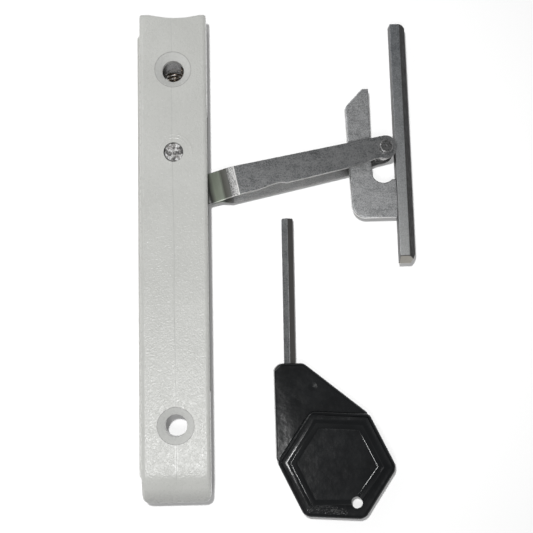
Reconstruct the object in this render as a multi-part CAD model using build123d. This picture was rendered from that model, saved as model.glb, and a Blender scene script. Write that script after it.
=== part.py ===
from build123d import *
from math import atan2, cos, pi, radians, sin, sqrt
import os

# A window restrictor lying on its back, sizes in millimetres.
# The origin is midway between the two fixing holes, on the mounting face z = 0.
# +Y runs up the housing, +X points to the side where the arm swings out, +Z is the front.

# Housing, a cast cover open at the back
fixing_spacing = 92.0
top_beyond_hole = 14.9
bottom_beyond_hole = 19.7
housing_width = 17.4
housing_height = 14.0
side_wall = 1.5
end_wall = 1.8
front_wall = 2.1
front_edge_radius = 1.0
corner_radius = 2.0
shoulder_radius = 0.6
scoop_depth = 1.1
scoop_shoulder = 2.2
toe_run = 8.6
toe_drop = 5.0
lip_width = 1.5
lip_height = 2.4
lip_slant = 2.4
lip_short_of_end = 0.4
lip_short_of_toe = 3.9
fixing_bore = 5.7
countersink_diameter = 9.4
fixing_boss = 11.2
fixing_relief = 8.4
fixing_bore_depth = 6.2
upper_collar = 9.0
upper_collar_depth = 1.4
cross_rib = 2.6
opening_above_origin = 36.0
overcut = 1.0

# Plates that close the back and guide the slider
back_plate_thickness = 0.8
track_thickness = 1.6
plate_side_gap = 0.1
slot_width = 6.0
slot_end_above_hole = 0.7
track_past_rib = 2.3
closing_rivet_diameter = 2.4
closing_rivet_head = 3.6
closing_rivet_sink = 0.5
closing_rivet_reach = 4.0
closing_rivet_inset = 3.0
closing_rivet_side = 4.9
closing_post_height = 4.5
closing_post_reach = 2.4
plate_corner = 0.5

# Slider: a folded steel channel on a moulded shoe
slide_gap = 0.15
channel_thickness = 1.5
channel_bend = 1.9
channel_corner = 1.5
channel_length = 19.0
channel_reach = 7.0
strap_below_ceiling = 0.5
release_slot_length = 13.0
release_slot_gap = 0.25
shoe_side_gap = 0.15
shoe_set_back = 1.5
shoe_nose_radius = 2.5
shoe_seat_length = 2.0
shoe_rivet_diameter = 1.8
shoe_rivet_spacing = 9.0
slider_travel = 38.9
travel_end_gap = 0.5

# Arm: two steel plates that meet on the pivot and open into a fork
pivot_from_side = 4.1
pivot_y = 14.6
arm_length = 52.3
arm_angle = 12.2
arm_plate_thickness = 1.5
arm_root_radius = 4.0
arm_tip_radius = 3.05
fork_gap = 5.6
bend_radius = 1.5
top_crown_radius = 4.0
top_bend_at = 4.4
top_bend_run = 6.7
low_bend_at = 6.8
low_bend_run = 3.4
# the lower plate's south edge bellies out, the upper plate's has two shallow dents (along, across)
low_belly = [(6.9, -3.85), (9.8, -4.6), (42.0, -4.15), (50.6, -3.05)]
first_dent = [(16.8, -3.72), (21.2, -3.06), (23.4, -3.06), (24.8, -3.58)]
tip_dent = [(44.6, -3.24), (47.4, -2.64), (49.8, -2.44), (50.6, -2.56), (51.2, -2.88), (52.0, -3.07)]
arm_above_track = 0.3
pivot_diameter = 3.0
pivot_head_diameter = 4.6
pivot_head_height = 0.35
bush_diameter = 5.0
running_gap = 0.06
roller_pin_diameter = 2.6
roller_pin_head_diameter = 3.8
roller_pin_head_height = 0.9
roller_pin_head_radius = 0.6
pin_dimple_diameter = 0.7
pin_dimple_point = 0.2
pin_dimple_depth = 0.25
roller_diameter = 5.0
roller_end_gap = 0.2

# Keeper: a hook plate on a bevelled rail, which leans a little as it lies
keeper_lean = 1.0
hook_thickness = 2.0
hook_reach = 9.9
hook_foot_reach = 9.1
hook_below_roller = 18.25
hook_foot_radius = 3.6
finger_above_roller = 16.7
finger_tip_width = 1.7
finger_shoulder_x = 9.2
finger_shoulder_y = 12.6
finger_cheek_y = 10.2
slot_left_of_roller = 3.45
slot_floor_below_roller = 9.0
slot_radius = 3.1
rail_left_of_roller = 2.9
rail_width = 4.3
rail_under_hook = 0.3
rail_over_hook = 1.4
rail_above_roller = 33.9
rail_below_roller = 30.6
rail_bevel_width = 1.8
rail_bevel_depth = 1.9
rail_top_corner = (0.9, 0.6)
rail_foot_corner = (1.2, 2.2)
rail_foot_bevel = 1.7
rail_foot_bevel_depth = 2.5
tenon_width = 6.0
tenon_depth = 1.8
keeper_edge_break = 0.25

# Stop plunger and its leaf spring
plunger_y = 24.1
plunger_diameter = 4.9
plunger_side_gap = 0.1
plunger_recess = 0.4
collar_diameter = 6.8
collar_thickness = 1.5
collar_stop_gap = 0.05
nose_diameter = 3.0
nose_length = 0.45
leaf_thickness = 0.4
leaf_width = 5.0
leaf_reach = 12.5
leaf_tip_gap = 1.5
leaf_corner = 1.2
leaf_post_diameter = 4.6
leaf_hole_depth = 1.6
leaf_rivet_diameter = 1.8
leaf_rivet_head = 3.2

# Return spring
spring_outer = 4.4
spring_wire = 0.55
spring_pitch = 1.0
spring_end_gap = 0.1
spring_lead_bend = 0.9

# Release key
key_across_flats = 3.0
key_shaft_x = 29.7
key_tip_y = 7.8
key_shaft_buried = 16.0
key_tip_break = 0.2
grip_height = 7.2
grip_x = 41.4
grip_y = -57.3
grip_radius = 15.7
grip_turn = -3.8
grip_neck_left = 25.4
grip_neck_right = 33.2
grip_neck_top = -30.8
grip_neck_slant_x = 1.6
grip_neck_slant_y = 1.3
grip_neck_thickness = 5.6
grip_corner_radius = 1.6
grip_edge_radius = 1.1
grip_neck_edge_radius = 0.7
grip_panel_depth = 0.9
grip_panel_top_left = (35.9, -47.2)
grip_panel_top_right = (47.7, -47.8)
grip_panel_right = (52.9, -58.2)
grip_panel_low_right = (44.8, -66.0)
grip_panel_low_left = (34.2, -65.6)
grip_panel_left = (29.6, -55.9)
ring_hole_x = 46.3
ring_hole_y = -67.0
ring_hole_diameter = 2.7

# Places that follow from the sizes above
hole_y = fixing_spacing / 2
top_y = hole_y + top_beyond_hole
bottom_y = -hole_y - bottom_beyond_hole
half_width = housing_width / 2
pivot_x = half_width - pivot_from_side
inner_half = half_width - side_wall
ceiling = housing_height - front_wall
plate_half = inner_half - plate_side_gap
track_top = back_plate_thickness + track_thickness
channel_low = track_top + slide_gap
channel_floor = channel_low + channel_thickness
strap_top = ceiling - strap_below_ceiling
strap_low = strap_top - channel_thickness
arm_low = track_top + arm_above_track
stack_low = channel_floor + slide_gap
stack_middle = stack_low + arm_plate_thickness
stack_top = stack_middle + arm_plate_thickness
fork_low = arm_low + arm_plate_thickness
fork_high = fork_low + fork_gap
arm_top = fork_high + arm_plate_thickness
fork_middle = (fork_low + fork_high) / 2
roller_x = pivot_x + arm_length * cos(radians(arm_angle))
roller_y = pivot_y + arm_length * sin(radians(arm_angle))
channel_top_y = plunger_y - collar_diameter / 2 - collar_stop_gap
channel_bottom_y = channel_top_y - channel_length
collar_top = ceiling - collar_stop_gap
collar_low = collar_top - collar_thickness
nose_low = collar_low - nose_length
leaf_y = plunger_y + leaf_reach
opening_bottom_y = channel_bottom_y - slider_travel - travel_end_gap
rib_bottom_y = opening_bottom_y - cross_rib
track_bottom_y = rib_bottom_y - track_past_rib
slot_bottom_y = channel_bottom_y + shoe_set_back - slider_travel - travel_end_gap
hook_low = fork_middle - hook_thickness / 2
hook_high = hook_low + hook_thickness
rail_x = roller_x + rail_left_of_roller
rail_low = hook_low - rail_under_hook
rail_high = hook_high + rail_over_hook
key_axis_height = grip_height / 2
foot_room_top = housing_height - toe_drop - front_wall
inner_top_y = top_y - scoop_depth - end_wall
inner_bottom_y = bottom_y + end_wall
spring_radius = (spring_outer - spring_wire) / 2
spring_axis_z = back_plate_thickness + spring_end_gap + spring_outer / 2
slot_end_y = hole_y + slot_end_above_hole
slot_top_y = slot_end_y + slot_width / 2
shoe_top_y = channel_top_y + shoe_seat_length
spring_start_y = shoe_top_y + spring_end_gap
spring_end_y = slot_top_y - spring_end_gap


def box_between(x0, x1, y0, y1, z0, z1):
    solid = Box(x1 - x0, y1 - y0, z1 - z0, align=(Align.MIN, Align.MIN, Align.MIN))
    return Pos(x0, y0, z0) * solid


def post(x, y, diameter, z0, z1):
    solid = Cylinder(diameter / 2, z1 - z0, align=(Align.CENTER, Align.CENTER, Align.MIN))
    return Pos(x, y, z0) * solid


def prism(points, z0, z1):
    face = make_face(Polyline(*points, close=True))
    return extrude(Pos(0, 0, z0) * face, z1 - z0)


def upright_edges_near(shape, x, y, reach):
    near = []
    for edge in shape.edges().filter_by(Axis.Z):
        centre = edge.center()
        if abs(centre.X - x) < reach and abs(centre.Y - y) < reach:
            near.append(edge)
    return near


def housing_outline():
    left = -half_width
    low_left = (left, bottom_y)
    low_right = (half_width, bottom_y)
    top_left = (left, top_y)
    top_right = (half_width, top_y)
    scoop_left = (left + scoop_shoulder, top_y)
    scoop_right = (half_width - scoop_shoulder / 2, top_y)
    scoop_middle = ((scoop_left[0] + scoop_right[0]) / 2, top_y - scoop_depth)
    sides = Polyline(scoop_left, top_left, low_left, low_right, top_right, scoop_right)
    scoop = ThreePointArc(scoop_right, scoop_middle, scoop_left)
    return make_face([sides, scoop])


def toe_cutter():
    # what is cut away so that the front rolls down to the lower end
    radius = (toe_run**2 + toe_drop**2) / (2 * toe_drop)
    start = (bottom_y + toe_run, housing_height)
    end = (bottom_y, housing_height - toe_drop)
    turn = atan2(toe_run, radius - toe_drop) / 2
    middle = (start[0] - radius * sin(turn), housing_height - radius * (1 - cos(turn)))
    over = (bottom_y - end_wall, housing_height + end_wall)
    arc = ThreePointArc(start, middle, end)
    rest = Polyline(end, (over[0], end[1]), over, (start[0], over[1]), start)
    face = make_face([arc, rest])
    return extrude(Plane.YZ * face, housing_width, both=True)


def housing_lip():
    # the low ledge along the side away from the arm, slanted at both ends
    x0 = -half_width - lip_width
    y0 = bottom_y + lip_short_of_toe
    y1 = top_y - lip_short_of_end
    inner = -half_width + side_wall / 2
    slanted = [(-half_width, y0), (x0, y0 + lip_slant), (x0, y1 - lip_slant), (-half_width, y1)]
    return prism([(inner, y0)] + slanted + [(inner, y1)], 0, lip_height)


def shaped_block():
    # the outside of the casting, before it is hollowed
    body = extrude(housing_outline(), housing_height)
    low_corners = upright_edges_near(body, -half_width, bottom_y, corner_radius)
    low_corners += upright_edges_near(body, half_width, bottom_y, corner_radius)
    body = fillet(low_corners, corner_radius)
    shoulders = upright_edges_near(body, -half_width, top_y, shoulder_radius)
    shoulders += upright_edges_near(body, half_width, top_y, shoulder_radius)
    body = fillet(shoulders, shoulder_radius)
    body -= toe_cutter()
    front = body.faces().filter_by(Axis.Z).sort_by(Axis.Z)[-1]
    body = fillet(front.edges().filter_by(Axis.Y), front_edge_radius)
    return body + housing_lip()


def inner_room(y0, y1, z0, z1):
    return box_between(-inner_half, inner_half, y0, y1, z0, z1)


def make_housing():
    body = shaped_block()
    body -= inner_room(opening_bottom_y, inner_top_y, 0, ceiling)
    body -= inner_room(bottom_y + toe_run, rib_bottom_y, 0, ceiling)
    body -= inner_room(inner_bottom_y, rib_bottom_y, 0, foot_room_top)
    body += post(0, -hole_y, fixing_boss, back_plate_thickness, housing_height - front_edge_radius)
    body += post(0, hole_y, upper_collar, ceiling - upper_collar_depth, housing_height - front_edge_radius)
    for x, y in closing_rivet_places():
        body += closing_post(x, y)
    # seats for the two plates at the back
    body -= inner_room(track_bottom_y - plate_side_gap, inner_top_y, 0, track_top)
    body -= inner_room(inner_bottom_y, inner_top_y, 0, back_plate_thickness)
    # side opening for the arm
    opening = (0, housing_width, opening_bottom_y, opening_above_origin)
    body -= box_between(*opening, back_plate_thickness, ceiling)
    body += leaf_post()
    for y in (-hole_y, hole_y):
        body -= fixing_hole(y)
    # the lower bore is wider towards the back
    body -= post(0, -hole_y, fixing_relief, 0, housing_height - fixing_bore_depth)
    plunger_bore = plunger_diameter + 2 * plunger_side_gap
    body -= post(0, plunger_y, plunger_bore, ceiling - overcut, housing_height + overcut)
    body -= closing_rivet_set()
    return body - post(0, leaf_y, leaf_rivet_diameter, nose_low, nose_low + leaf_hole_depth)


def fixing_hole(y):
    sink_depth = (countersink_diameter - fixing_bore) / 2
    align = (Align.CENTER, Align.CENTER, Align.MAX)
    sink = Cone(fixing_bore / 2, countersink_diameter / 2, sink_depth, align=align)
    return post(0, y, fixing_bore, 0, housing_height) + Pos(0, y, housing_height) * sink


def leaf_post():
    # hangs from the front wall and carries the leaf spring
    return post(0, leaf_y, leaf_post_diameter, nose_low, ceiling)


def closing_rivet_places():
    ends = (inner_top_y - closing_rivet_inset, inner_bottom_y + closing_rivet_inset)
    return [(x, y) for x in (-closing_rivet_side, closing_rivet_side) for y in ends]


def closing_post(x, y):
    # a solid corner of the casting that a rivet goes into
    side = 1 if x > 0 else -1
    outer_x = side * (inner_half + side_wall / 2)
    inner_x = x - side * closing_post_reach
    low = back_plate_thickness if y < 0 else track_top
    x0, x1 = sorted((inner_x, outer_x))
    return box_between(x0, x1, y - closing_post_reach, y + closing_post_reach, low, low + closing_post_height)


def closing_rivet(x, y):
    align = (Align.CENTER, Align.CENTER, Align.MIN)
    sink = Cone(closing_rivet_head / 2, closing_rivet_diameter / 2, closing_rivet_sink, align=align)
    return post(x, y, closing_rivet_diameter, 0, closing_rivet_reach) + Pos(x, y, 0) * sink


def closing_rivet_set():
    return Compound(children=[closing_rivet(x, y) for x, y in closing_rivet_places()])


def make_back_plate():
    y0 = inner_bottom_y + plate_side_gap
    y1 = inner_top_y - plate_side_gap
    plate = box_between(-plate_half, plate_half, y0, y1, 0, back_plate_thickness)
    plate = fillet(plate.edges().filter_by(Axis.Z), plate_corner)
    plate -= post(0, -hole_y, fixing_relief, 0, back_plate_thickness)
    plate -= post(0, hole_y, fixing_bore, 0, back_plate_thickness)
    return plate - closing_rivet_set()


def make_track_plate():
    y1 = inner_top_y - plate_side_gap
    plate = box_between(-plate_half, plate_half, track_bottom_y, y1, back_plate_thickness, track_top)
    half = slot_width / 2
    slot_low = slot_bottom_y + half
    plate -= box_between(-half, half, slot_low, slot_end_y, back_plate_thickness, track_top)
    plate -= post(0, slot_low, slot_width, back_plate_thickness, track_top)
    plate -= post(0, slot_end_y, slot_width, back_plate_thickness, track_top)
    plate -= post(0, -hole_y, fixing_boss + 2 * plate_side_gap, back_plate_thickness, track_top)
    return plate - closing_rivet_set()


def make_slider_channel():
    x0 = -plate_half
    x1 = channel_reach
    y0 = channel_bottom_y
    y1 = channel_top_y
    floor = box_between(x0, x1, y0, y1, channel_low, channel_floor)
    web = box_between(x0, x0 + channel_thickness, y0, y1, channel_low, strap_top)
    strap = box_between(x0, x1, y0, y1, strap_low, strap_top)
    channel = floor + web + strap
    outer = [e for e in channel.edges().filter_by(Axis.Y) if e.center().X < x0 + channel_thickness / 2]
    channel = fillet(outer, channel_bend)
    free = [e for e in channel.edges().filter_by(Axis.Z) if e.center().X > x1 - channel_thickness / 2]
    channel = fillet(free, channel_corner)
    # the slot that passes the pressed plunger
    half = plunger_diameter / 2 + release_slot_gap
    slot_end = y1 - release_slot_length + half
    channel -= box_between(-half, half, slot_end, y1, strap_low, strap_top)
    channel -= post(0, slot_end, 2 * half, strap_low, strap_top)
    channel -= post(pivot_x, pivot_y, pivot_diameter, channel_low, strap_top)
    for y in shoe_rivet_places():
        channel -= post(0, y, shoe_rivet_diameter, channel_low, channel_floor)
    return channel


def shoe_rivet_places():
    middle = (channel_bottom_y + channel_top_y) / 2
    return [middle - shoe_rivet_spacing / 2, middle + shoe_rivet_spacing / 2]


def make_slider_shoe():
    half = slot_width / 2 - shoe_side_gap
    low = back_plate_thickness + shoe_side_gap
    y0 = channel_bottom_y + shoe_set_back
    shoe = box_between(-half, half, y0, channel_top_y, low, channel_low)
    shoe = fillet(shoe.edges().filter_by(Axis.Z).sort_by(Axis.Y)[:2], shoe_nose_radius)
    shoe += box_between(-half, half, channel_top_y, shoe_top_y, low, channel_floor)
    for y in shoe_rivet_places():
        shoe -= post(0, y, shoe_rivet_diameter, low, channel_low)
    return shoe


def make_shoe_rivets():
    low = back_plate_thickness + shoe_side_gap
    rivets = [post(0, y, shoe_rivet_diameter, low, channel_floor) for y in shoe_rivet_places()]
    return Compound(children=rivets)


def make_pivot_pin():
    pin = post(pivot_x, pivot_y, pivot_diameter, channel_low, strap_top)
    return pin + post(pivot_x, pivot_y, pivot_head_diameter, strap_top, strap_top + pivot_head_height)


def make_pivot_bush():
    low = stack_top + slide_gap
    high = strap_low - slide_gap
    bush = post(pivot_x, pivot_y, bush_diameter, low, high)
    return bush - post(pivot_x, pivot_y, pivot_diameter, low, high)


def arm_plan(z0, z1):
    # two round ends joined by tangent sides, along +X from the pivot
    lean = (arm_root_radius - arm_tip_radius) / arm_length
    rise = sqrt(1 - lean**2)
    root = (arm_root_radius * lean, arm_root_radius * rise)
    tip = (arm_length + arm_tip_radius * lean, arm_tip_radius * rise)
    sides = prism([root, tip, (tip[0], -tip[1]), (root[0], -root[1])], z0, z1)
    plan = sides + post(0, 0, 2 * arm_root_radius, z0, z1)
    return plan + post(arm_length, 0, 2 * arm_tip_radius, z0, z1)


def joggled_strip(inner_z, outer_z, bend_at, bend_run, outer_radius):
    # a strip that runs flat, slopes to the outer level and runs flat again
    reach = arm_root_radius + overcut
    far = arm_length + arm_tip_radius + overcut
    path = FilletPolyline(
        (-reach, 0, inner_z), (bend_at, 0, inner_z), (bend_at + bend_run, 0, outer_z), (far, 0, outer_z),
        radius=(bend_radius, outer_radius),
    )
    section = Plane((-reach, 0, inner_z), x_dir=(0, 1, 0), z_dir=(1, 0, 0))
    return sweep(section * Rectangle(2 * reach, arm_plate_thickness), path)


def place_on_arm(shape):
    return Pos(pivot_x, pivot_y, 0) * Rot(0, 0, arm_angle) * shape


def belly_plan(z0, z1):
    first, last = low_belly[0][0], low_belly[-1][0]
    return arm_plan(z0, z1) + prism(low_belly + [(last, 0), (first, 0)], z0, z1)


def dented_plan(z0, z1):
    plan = arm_plan(z0, z1)
    for dent in (first_dent, tip_dent):
        outside = -arm_root_radius - overcut
        plan -= prism(dent + [(dent[-1][0], outside), (dent[0][0], outside)], z0, z1)
    return plan


def arm_plate(plan, inner_low, outer_low, bend_at, bend_run, outer_radius):
    half = arm_plate_thickness / 2
    strip = joggled_strip(inner_low + half, outer_low + half, bend_at, bend_run, outer_radius)
    plate = strip & plan
    plate -= post(0, 0, pivot_diameter + 2 * running_gap, 0, housing_height)
    plate -= post(arm_length, 0, roller_pin_diameter, 0, housing_height)
    return place_on_arm(plate)


def make_arm_top_plate():
    plan = dented_plan(0, housing_height)
    return arm_plate(plan, stack_middle, fork_high, top_bend_at, top_bend_run, top_crown_radius)


def make_arm_bottom_plate():
    plan = belly_plan(0, housing_height)
    return arm_plate(plan, stack_low, arm_low, low_bend_at, low_bend_run, bend_radius)


def pin_head():
    # a domed head that stands on z = 0 and has a punch mark on top
    align = (Align.CENTER, Align.CENTER, Align.MIN)
    head = Cylinder(roller_pin_head_diameter / 2, roller_pin_head_height, align=align)
    rim = head.edges().filter_by(GeomType.CIRCLE).sort_by(Axis.Z)[-1]
    head = fillet(rim, roller_pin_head_radius)
    mark = Cone(pin_dimple_point / 2, pin_dimple_diameter / 2, pin_dimple_depth, align=align)
    return head - Pos(0, 0, roller_pin_head_height - pin_dimple_depth) * mark


def make_roller_pin():
    pin = post(roller_x, roller_y, roller_pin_diameter, arm_low, arm_top)
    pin += Pos(roller_x, roller_y, arm_top) * pin_head()
    return pin + Pos(roller_x, roller_y, arm_low) * Rot(180, 0, 0) * pin_head()


def make_roller():
    low = fork_low + roller_end_gap
    high = fork_high - roller_end_gap
    roller = post(roller_x, roller_y, roller_diameter, low, high)
    roller = chamfer(roller.edges().filter_by(GeomType.CIRCLE), roller_end_gap)
    return roller - post(roller_x, roller_y, roller_pin_diameter + 2 * running_gap, low, high)


def lean_keeper(shape):
    # turns a keeper piece about the roller's axis, to the way it lies
    return Pos(roller_x, roller_y, 0) * Rot(0, 0, keeper_lean) * Pos(-roller_x, -roller_y, 0) * shape


def hook_outline():
    # points are given from the roller's axis
    foot_left = (-hook_foot_reach, -hook_below_roller + hook_foot_radius)
    foot_turn = hook_foot_radius * (1 - cos(radians(45)))
    foot_middle = (-hook_foot_reach + foot_turn, -hook_below_roller + foot_turn)
    foot_right = (-hook_foot_reach + hook_foot_radius, -hook_below_roller)
    rail = rail_left_of_roller
    slot_centre_x = -slot_left_of_roller + slot_radius
    slot_centre_y = -slot_floor_below_roller + slot_radius
    rise = slot_radius * sin(radians(45))
    slot_right = (slot_centre_x + rise, slot_centre_y - rise)
    slot_floor = (slot_centre_x, -slot_floor_below_roller)
    slot_left = (-slot_left_of_roller, slot_centre_y)
    tip_right = (-slot_left_of_roller, finger_above_roller)
    tip_left = (-slot_left_of_roller - finger_tip_width, finger_above_roller)
    shoulder = (-finger_shoulder_x, finger_shoulder_y)
    cheek = (-hook_reach, finger_cheek_y)
    lines = [
        ThreePointArc(foot_left, foot_middle, foot_right),
        Polyline(foot_right, (rail, foot_right[1]), (rail, slot_right[1]), slot_right),
        ThreePointArc(slot_right, slot_floor, slot_left),
        Polyline(slot_left, tip_right, tip_left, shoulder),
        TangentArc(shoulder, cheek, tangent=(shoulder[0] - tip_left[0], shoulder[1] - tip_left[1])),
        Line(cheek, foot_left),
    ]
    return make_face(lines)


def hook_tenon():
    joint_top = -slot_floor_below_roller + slot_radius * (1 - sin(radians(45)))
    middle_y = roller_y + (joint_top - hook_below_roller) / 2
    y0 = middle_y - tenon_width / 2
    return box_between(rail_x, rail_x + tenon_depth, y0, y0 + tenon_width, hook_low, hook_high)


def make_hook_plate():
    plate = extrude(Pos(roller_x, roller_y, hook_low) * hook_outline(), hook_thickness)
    upper = plate.faces().sort_by(Axis.Z)[-1]
    free_edges = [e for e in upper.edges() if e.center().X < rail_x - keeper_edge_break]
    return lean_keeper(chamfer(free_edges, keeper_edge_break) + hook_tenon())


def rail_side_bevel():
    # the long slope along the far side of the rail's top
    top_x = rail_x + rail_width - rail_bevel_width
    side_x = rail_x + rail_width
    over_x = side_x + overcut
    low_z = rail_high - rail_bevel_depth
    points = [(top_x, rail_high), (over_x, rail_high), (over_x, low_z), (side_x, low_z)]
    slope = make_face(Polyline(*points, close=True))
    cutter = extrude(Plane.XZ * slope, 2 * rail_above_roller, both=True)
    return Pos(0, roller_y, 0) * cutter


def rail_foot_slope(y0):
    # the rail's lower end slopes down to the foot
    points = [(y0, rail_high - rail_foot_bevel_depth), (y0, rail_high), (y0 + rail_foot_bevel, rail_high)]
    slope = make_face(Polyline(*points, close=True))
    return Pos(rail_x, 0, 0) * extrude(Plane.YZ * slope, rail_width)


def rail_end_corner(y, width, length):
    side_x = rail_x + rail_width
    points = [(side_x, y), (side_x, y + length), (side_x - width, y)]
    return prism(points, rail_low, rail_high)


def make_keeper_rail():
    y0 = roller_y - rail_below_roller
    y1 = roller_y + rail_above_roller
    rail = box_between(rail_x, rail_x + rail_width, y0, y1, rail_low, rail_high)
    rail -= rail_side_bevel()
    rail -= rail_foot_slope(y0)
    rail -= rail_end_corner(y0, rail_foot_corner[0], rail_foot_corner[1])
    rail -= rail_end_corner(y1, rail_top_corner[0], -rail_top_corner[1])
    return lean_keeper(rail - hook_tenon())


def make_stop_plunger():
    plunger = post(0, plunger_y, plunger_diameter, collar_top, housing_height - plunger_recess)
    plunger += post(0, plunger_y, collar_diameter, collar_low, collar_top)
    return plunger + post(0, plunger_y, nose_diameter, nose_low, collar_low)


def make_plunger_leaf():
    low = nose_low - leaf_thickness
    y0 = channel_top_y + leaf_tip_gap
    y1 = leaf_y + leaf_width / 2
    leaf = box_between(-leaf_width / 2, leaf_width / 2, y0, y1, low, nose_low)
    leaf = fillet(leaf.edges().filter_by(Axis.Z), leaf_corner)
    return leaf - post(0, leaf_y, leaf_rivet_diameter, low, nose_low)


def make_leaf_rivet():
    leaf_low = nose_low - leaf_thickness
    rivet = post(0, leaf_y, leaf_rivet_diameter, leaf_low, nose_low + leaf_hole_depth)
    return rivet + post(0, leaf_y, leaf_rivet_head, leaf_low - leaf_thickness, leaf_low)


def two_arcs(start, start_way, end, end_way):
    # two arcs that leave start and reach end in the given directions
    chord = end - start
    both = start_way + end_way
    spread = 2 * (1 - start_way.dot(end_way))
    along = chord.dot(both)
    reach = (sqrt(along**2 + spread * chord.dot(chord)) - along) / spread
    middle = (start + end + (start_way - end_way) * reach) * 0.5
    middle_way = ((end - end_way * reach) - (start + start_way * reach)).normalized()
    return [Edge.make_tangent_arc(start, start_way, middle), Edge.make_tangent_arc(middle, middle_way, end)]


def coil_place(angle, rise):
    x = spring_radius * cos(angle)
    z = spring_axis_z + spring_radius * sin(angle)
    return Vector(x, spring_start_y + spring_wire + spring_lead_bend + rise * angle / (2 * pi), z)


def coil_way(angle, rise):
    return Vector(-spring_radius * sin(angle), rise / (2 * pi), spring_radius * cos(angle)).normalized()


def spring_line():
    # half turns of the coil, with a bend and a straight end of the wire at both seats
    coil_length = spring_end_y - spring_start_y - 2 * (spring_wire + spring_lead_bend)
    turns = round(coil_length / spring_pitch)
    rise = coil_length / turns
    up = Vector(0, 1, 0)
    last = 2 * pi * turns
    first_bend = Vector(spring_radius, spring_start_y + spring_wire, spring_axis_z - spring_lead_bend)
    last_bend = Vector(spring_radius, spring_end_y - spring_wire, spring_axis_z + spring_lead_bend)
    edges = [Edge.make_line(first_bend - up * spring_wire, first_bend)]
    edges += two_arcs(first_bend, up, coil_place(0, rise), coil_way(0, rise))
    for half_turn in range(2 * turns):
        a = pi * half_turn
        b = a + pi
        edges += two_arcs(coil_place(a, rise), coil_way(a, rise), coil_place(b, rise), coil_way(b, rise))
    edges += two_arcs(coil_place(last, rise), coil_way(last, rise), last_bend, up)
    edges.append(Edge.make_line(last_bend, last_bend + up * spring_wire))
    return edges, turns


def least_gap(edges):
    # least distance between stretches of the wire that are over half a turn apart
    points = []
    travelled = 0.0
    for edge in edges:
        for step in range(12):
            points.append((travelled + edge.length * step / 12, edge @ (step / 12)))
        travelled += edge.length
    apart = pi * spring_radius
    distances = [(p - q).length for s, p in points for t, q in points if t - s > apart and t - s < 3 * apart]
    return min(distances) - spring_wire


def make_return_spring():
    edges, turns = spring_line()
    wire = Wire(edges)
    section = Plane(wire @ 0, z_dir=wire % 0) * Circle(spring_wire / 2)
    print("return spring turns", turns, "least gap to itself", round(least_gap(edges), 3))
    return sweep(section, wire)


def hexagon_corner(radius, number):
    angle = radians(60 * number + grip_turn)
    return (grip_x + radius * cos(angle), grip_y + radius * sin(angle))


def grip_neck():
    # the thinner web that runs from the hexagon up to the shaft
    low = (grip_height - grip_neck_thickness) / 2
    buried = grip_radius - grip_corner_radius
    outline = [
        (grip_neck_left, grip_neck_top - grip_neck_slant_y),
        (grip_neck_left + grip_neck_slant_x, grip_neck_top),
        (grip_neck_right, grip_neck_top),
        hexagon_corner(grip_radius, 1),
        hexagon_corner(buried, 0),
        hexagon_corner(buried, 5),
        hexagon_corner(buried, 4),
        hexagon_corner(grip_radius, 3),
    ]
    neck = prism(outline, low, low + grip_neck_thickness)
    corners = upright_edges_near(neck, *hexagon_corner(grip_radius, 1), grip_corner_radius)
    corners += upright_edges_near(neck, *hexagon_corner(grip_radius, 3), grip_corner_radius)
    neck = fillet(corners, grip_corner_radius)
    shoulders_from_y = grip_neck_top - 2 * grip_corner_radius
    shoulders = [e for e in neck.edges().filter_by(Axis.Z) if e.center().Y > shoulders_from_y]
    neck = fillet(shoulders, grip_neck_edge_radius)
    return fillet(neck.faces().filter_by(Axis.Z).edges(), grip_neck_edge_radius)


def grip_panel():
    corners = [
        grip_panel_top_left, grip_panel_top_right, grip_panel_right,
        grip_panel_low_right, grip_panel_low_left, grip_panel_left,
    ]
    return prism(corners, grip_height - grip_panel_depth, grip_height)


def make_key_grip():
    grip = prism([hexagon_corner(grip_radius, number) for number in range(6)], 0, grip_height)
    grip = fillet(grip.edges().filter_by(Axis.Z), grip_corner_radius)
    grip = fillet(grip.faces().filter_by(Axis.Z).edges(), grip_edge_radius)
    grip += grip_neck()
    grip -= grip_panel()
    grip -= post(ring_hole_x, ring_hole_y, ring_hole_diameter, 0, grip_height)
    return grip - key_hexagon()


def key_hexagon():
    low = grip_neck_top - key_shaft_buried
    # one corner of the hexagon points up
    section = RegularPolygon(key_across_flats / 2, 6, major_radius=False, rotation=30)
    shaft = extrude(section, key_tip_y - low)
    return Pos(key_shaft_x, low, key_axis_height) * Rot(-90, 0, 0) * shaft


def make_key_shaft():
    shaft = key_hexagon()
    tip = shaft.faces().sort_by(Axis.Y)[-1]
    return chamfer(tip.edges(), key_tip_break)


pieces = {
    "housing": make_housing,
    "back_plate": make_back_plate,
    "track_plate": make_track_plate,
    "closing_rivets": closing_rivet_set,
    "slider_channel": make_slider_channel,
    "slider_shoe": make_slider_shoe,
    "shoe_rivets": make_shoe_rivets,
    "pivot_pin": make_pivot_pin,
    "pivot_bush": make_pivot_bush,
    "arm_top_plate": make_arm_top_plate,
    "arm_bottom_plate": make_arm_bottom_plate,
    "roller_pin": make_roller_pin,
    "roller": make_roller,
    "hook_plate": make_hook_plate,
    "keeper_rail": make_keeper_rail,
    "stop_plunger": make_stop_plunger,
    "plunger_leaf": make_plunger_leaf,
    "leaf_rivet": make_leaf_rivet,
    "return_spring": make_return_spring,
    "key_grip": make_key_grip,
    "key_shaft": make_key_shaft,
}

os.makedirs("parts", exist_ok=True)
for name, make in pieces.items():
    shape = make()
    export_step(shape, f"parts/{name}.step")
    print(name, "solids", len(shape.solids()), "volume", round(shape.volume, 1))
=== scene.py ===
from math import cos, radians, sin

import bmesh
import bpy
from mathutils import Matrix, Vector


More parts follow.
